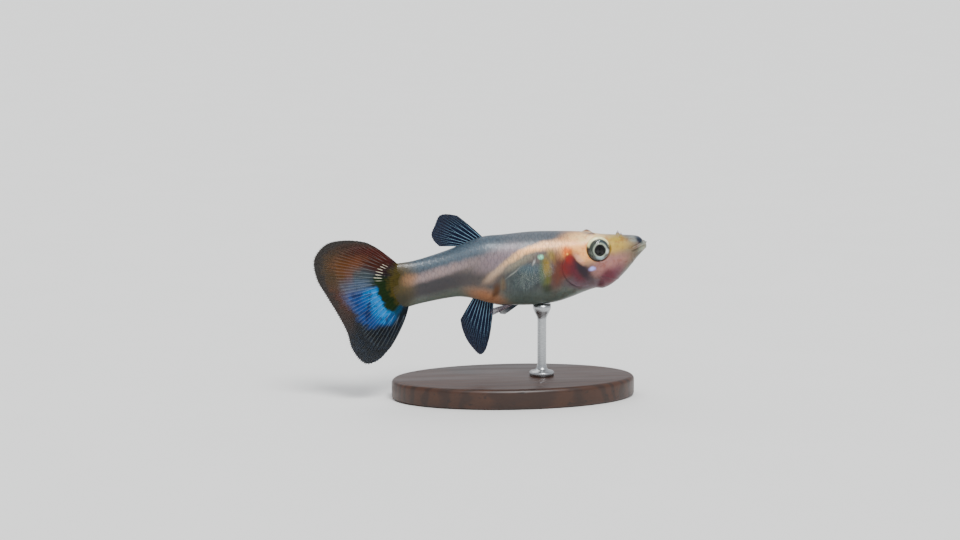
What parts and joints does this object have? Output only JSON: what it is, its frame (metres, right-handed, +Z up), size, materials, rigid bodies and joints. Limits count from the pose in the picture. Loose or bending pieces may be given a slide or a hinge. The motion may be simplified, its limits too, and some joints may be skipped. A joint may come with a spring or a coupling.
{
  "type": "fancy guppy model on a display stand",
  "caption": "Life-size still model of a young female fancy guppy, with a fan tail and raised fin rays, held level by one rod on a flat oval base.",
  "frame": {"origin": "on the underside of the stand, below the middle of the fish's whole length", "axes": "+X towards the snout, +Y to the fish's left side, +Z up"},
  "size_m": [0.0467, 0.021, 0.0257],
  "materials": {
    "skin": "wet satin",
    "gill_cover": "wet satin",
    "eye": "glossy",
    "tail_fin": "satin",
    "dark_fin": "satin",
    "clear_fin": "satin",
    "stand_wood": "oiled satin",
    "stand_steel": "brushed"
  },
  "bodies": {
    "root": {"head": "skin", "lower_jaw": "skin", "trunk": "skin", "tail_stem": "skin", "gill_cover_right": "gill_cover", "gill_cover_left": "gill_cover", "eye_right": "eye", "eye_left": "eye", "dorsal_fin": "dark_fin", "anal_fin": "dark_fin", "caudal_fin": "tail_fin", "pectoral_fin_right": "clear_fin", "pectoral_fin_left": "clear_fin", "pelvic_fin_right": "clear_fin", "pelvic_fin_left": "clear_fin", "stand_base": "stand_wood", "stand_rod": "stand_steel"}
  },
  "joints": []
}
